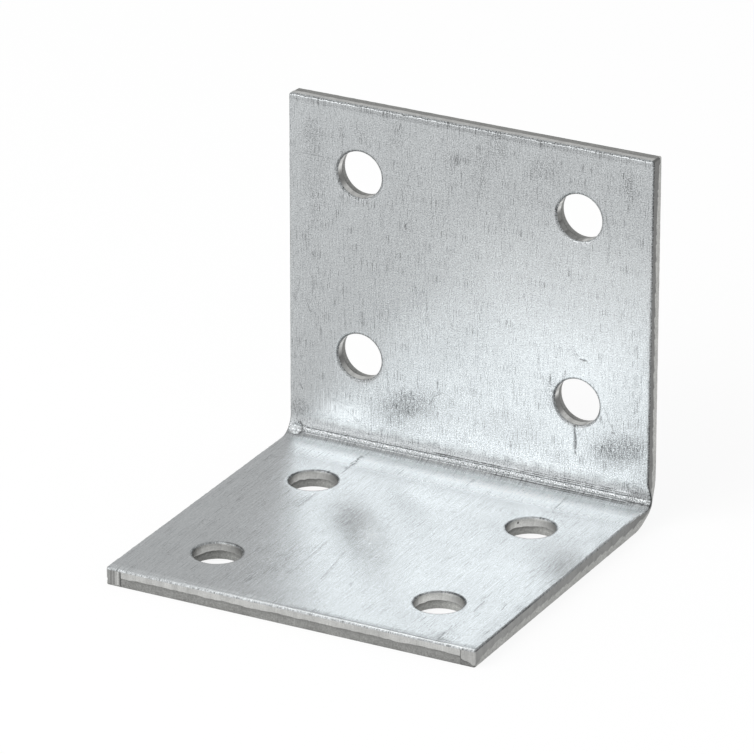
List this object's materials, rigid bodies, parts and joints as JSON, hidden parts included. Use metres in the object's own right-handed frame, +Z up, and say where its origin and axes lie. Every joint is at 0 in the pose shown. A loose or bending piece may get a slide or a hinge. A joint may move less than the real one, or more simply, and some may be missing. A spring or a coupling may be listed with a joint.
{
  "type": "angle bracket",
  "caption": "Folded sheet-steel angle bracket, galvanised, with round screw holes in both legs, for joining timber or panels at a right angle.",
  "frame": {"origin": "on the underside of the base leg, in the middle of the two legs' footprint", "axes": "+X across the strip's width, +Y from the base leg's free edge towards the upright leg, +Z up"},
  "size_m": [0.0416, 0.04, 0.0392],
  "materials": {
    "galvanised_steel": "bright galvanised sheet with fine rolling streaks, sheared edges left bare"
  },
  "bodies": {
    "root": {"angle_bracket": "galvanised_steel"}
  },
  "joints": []
}
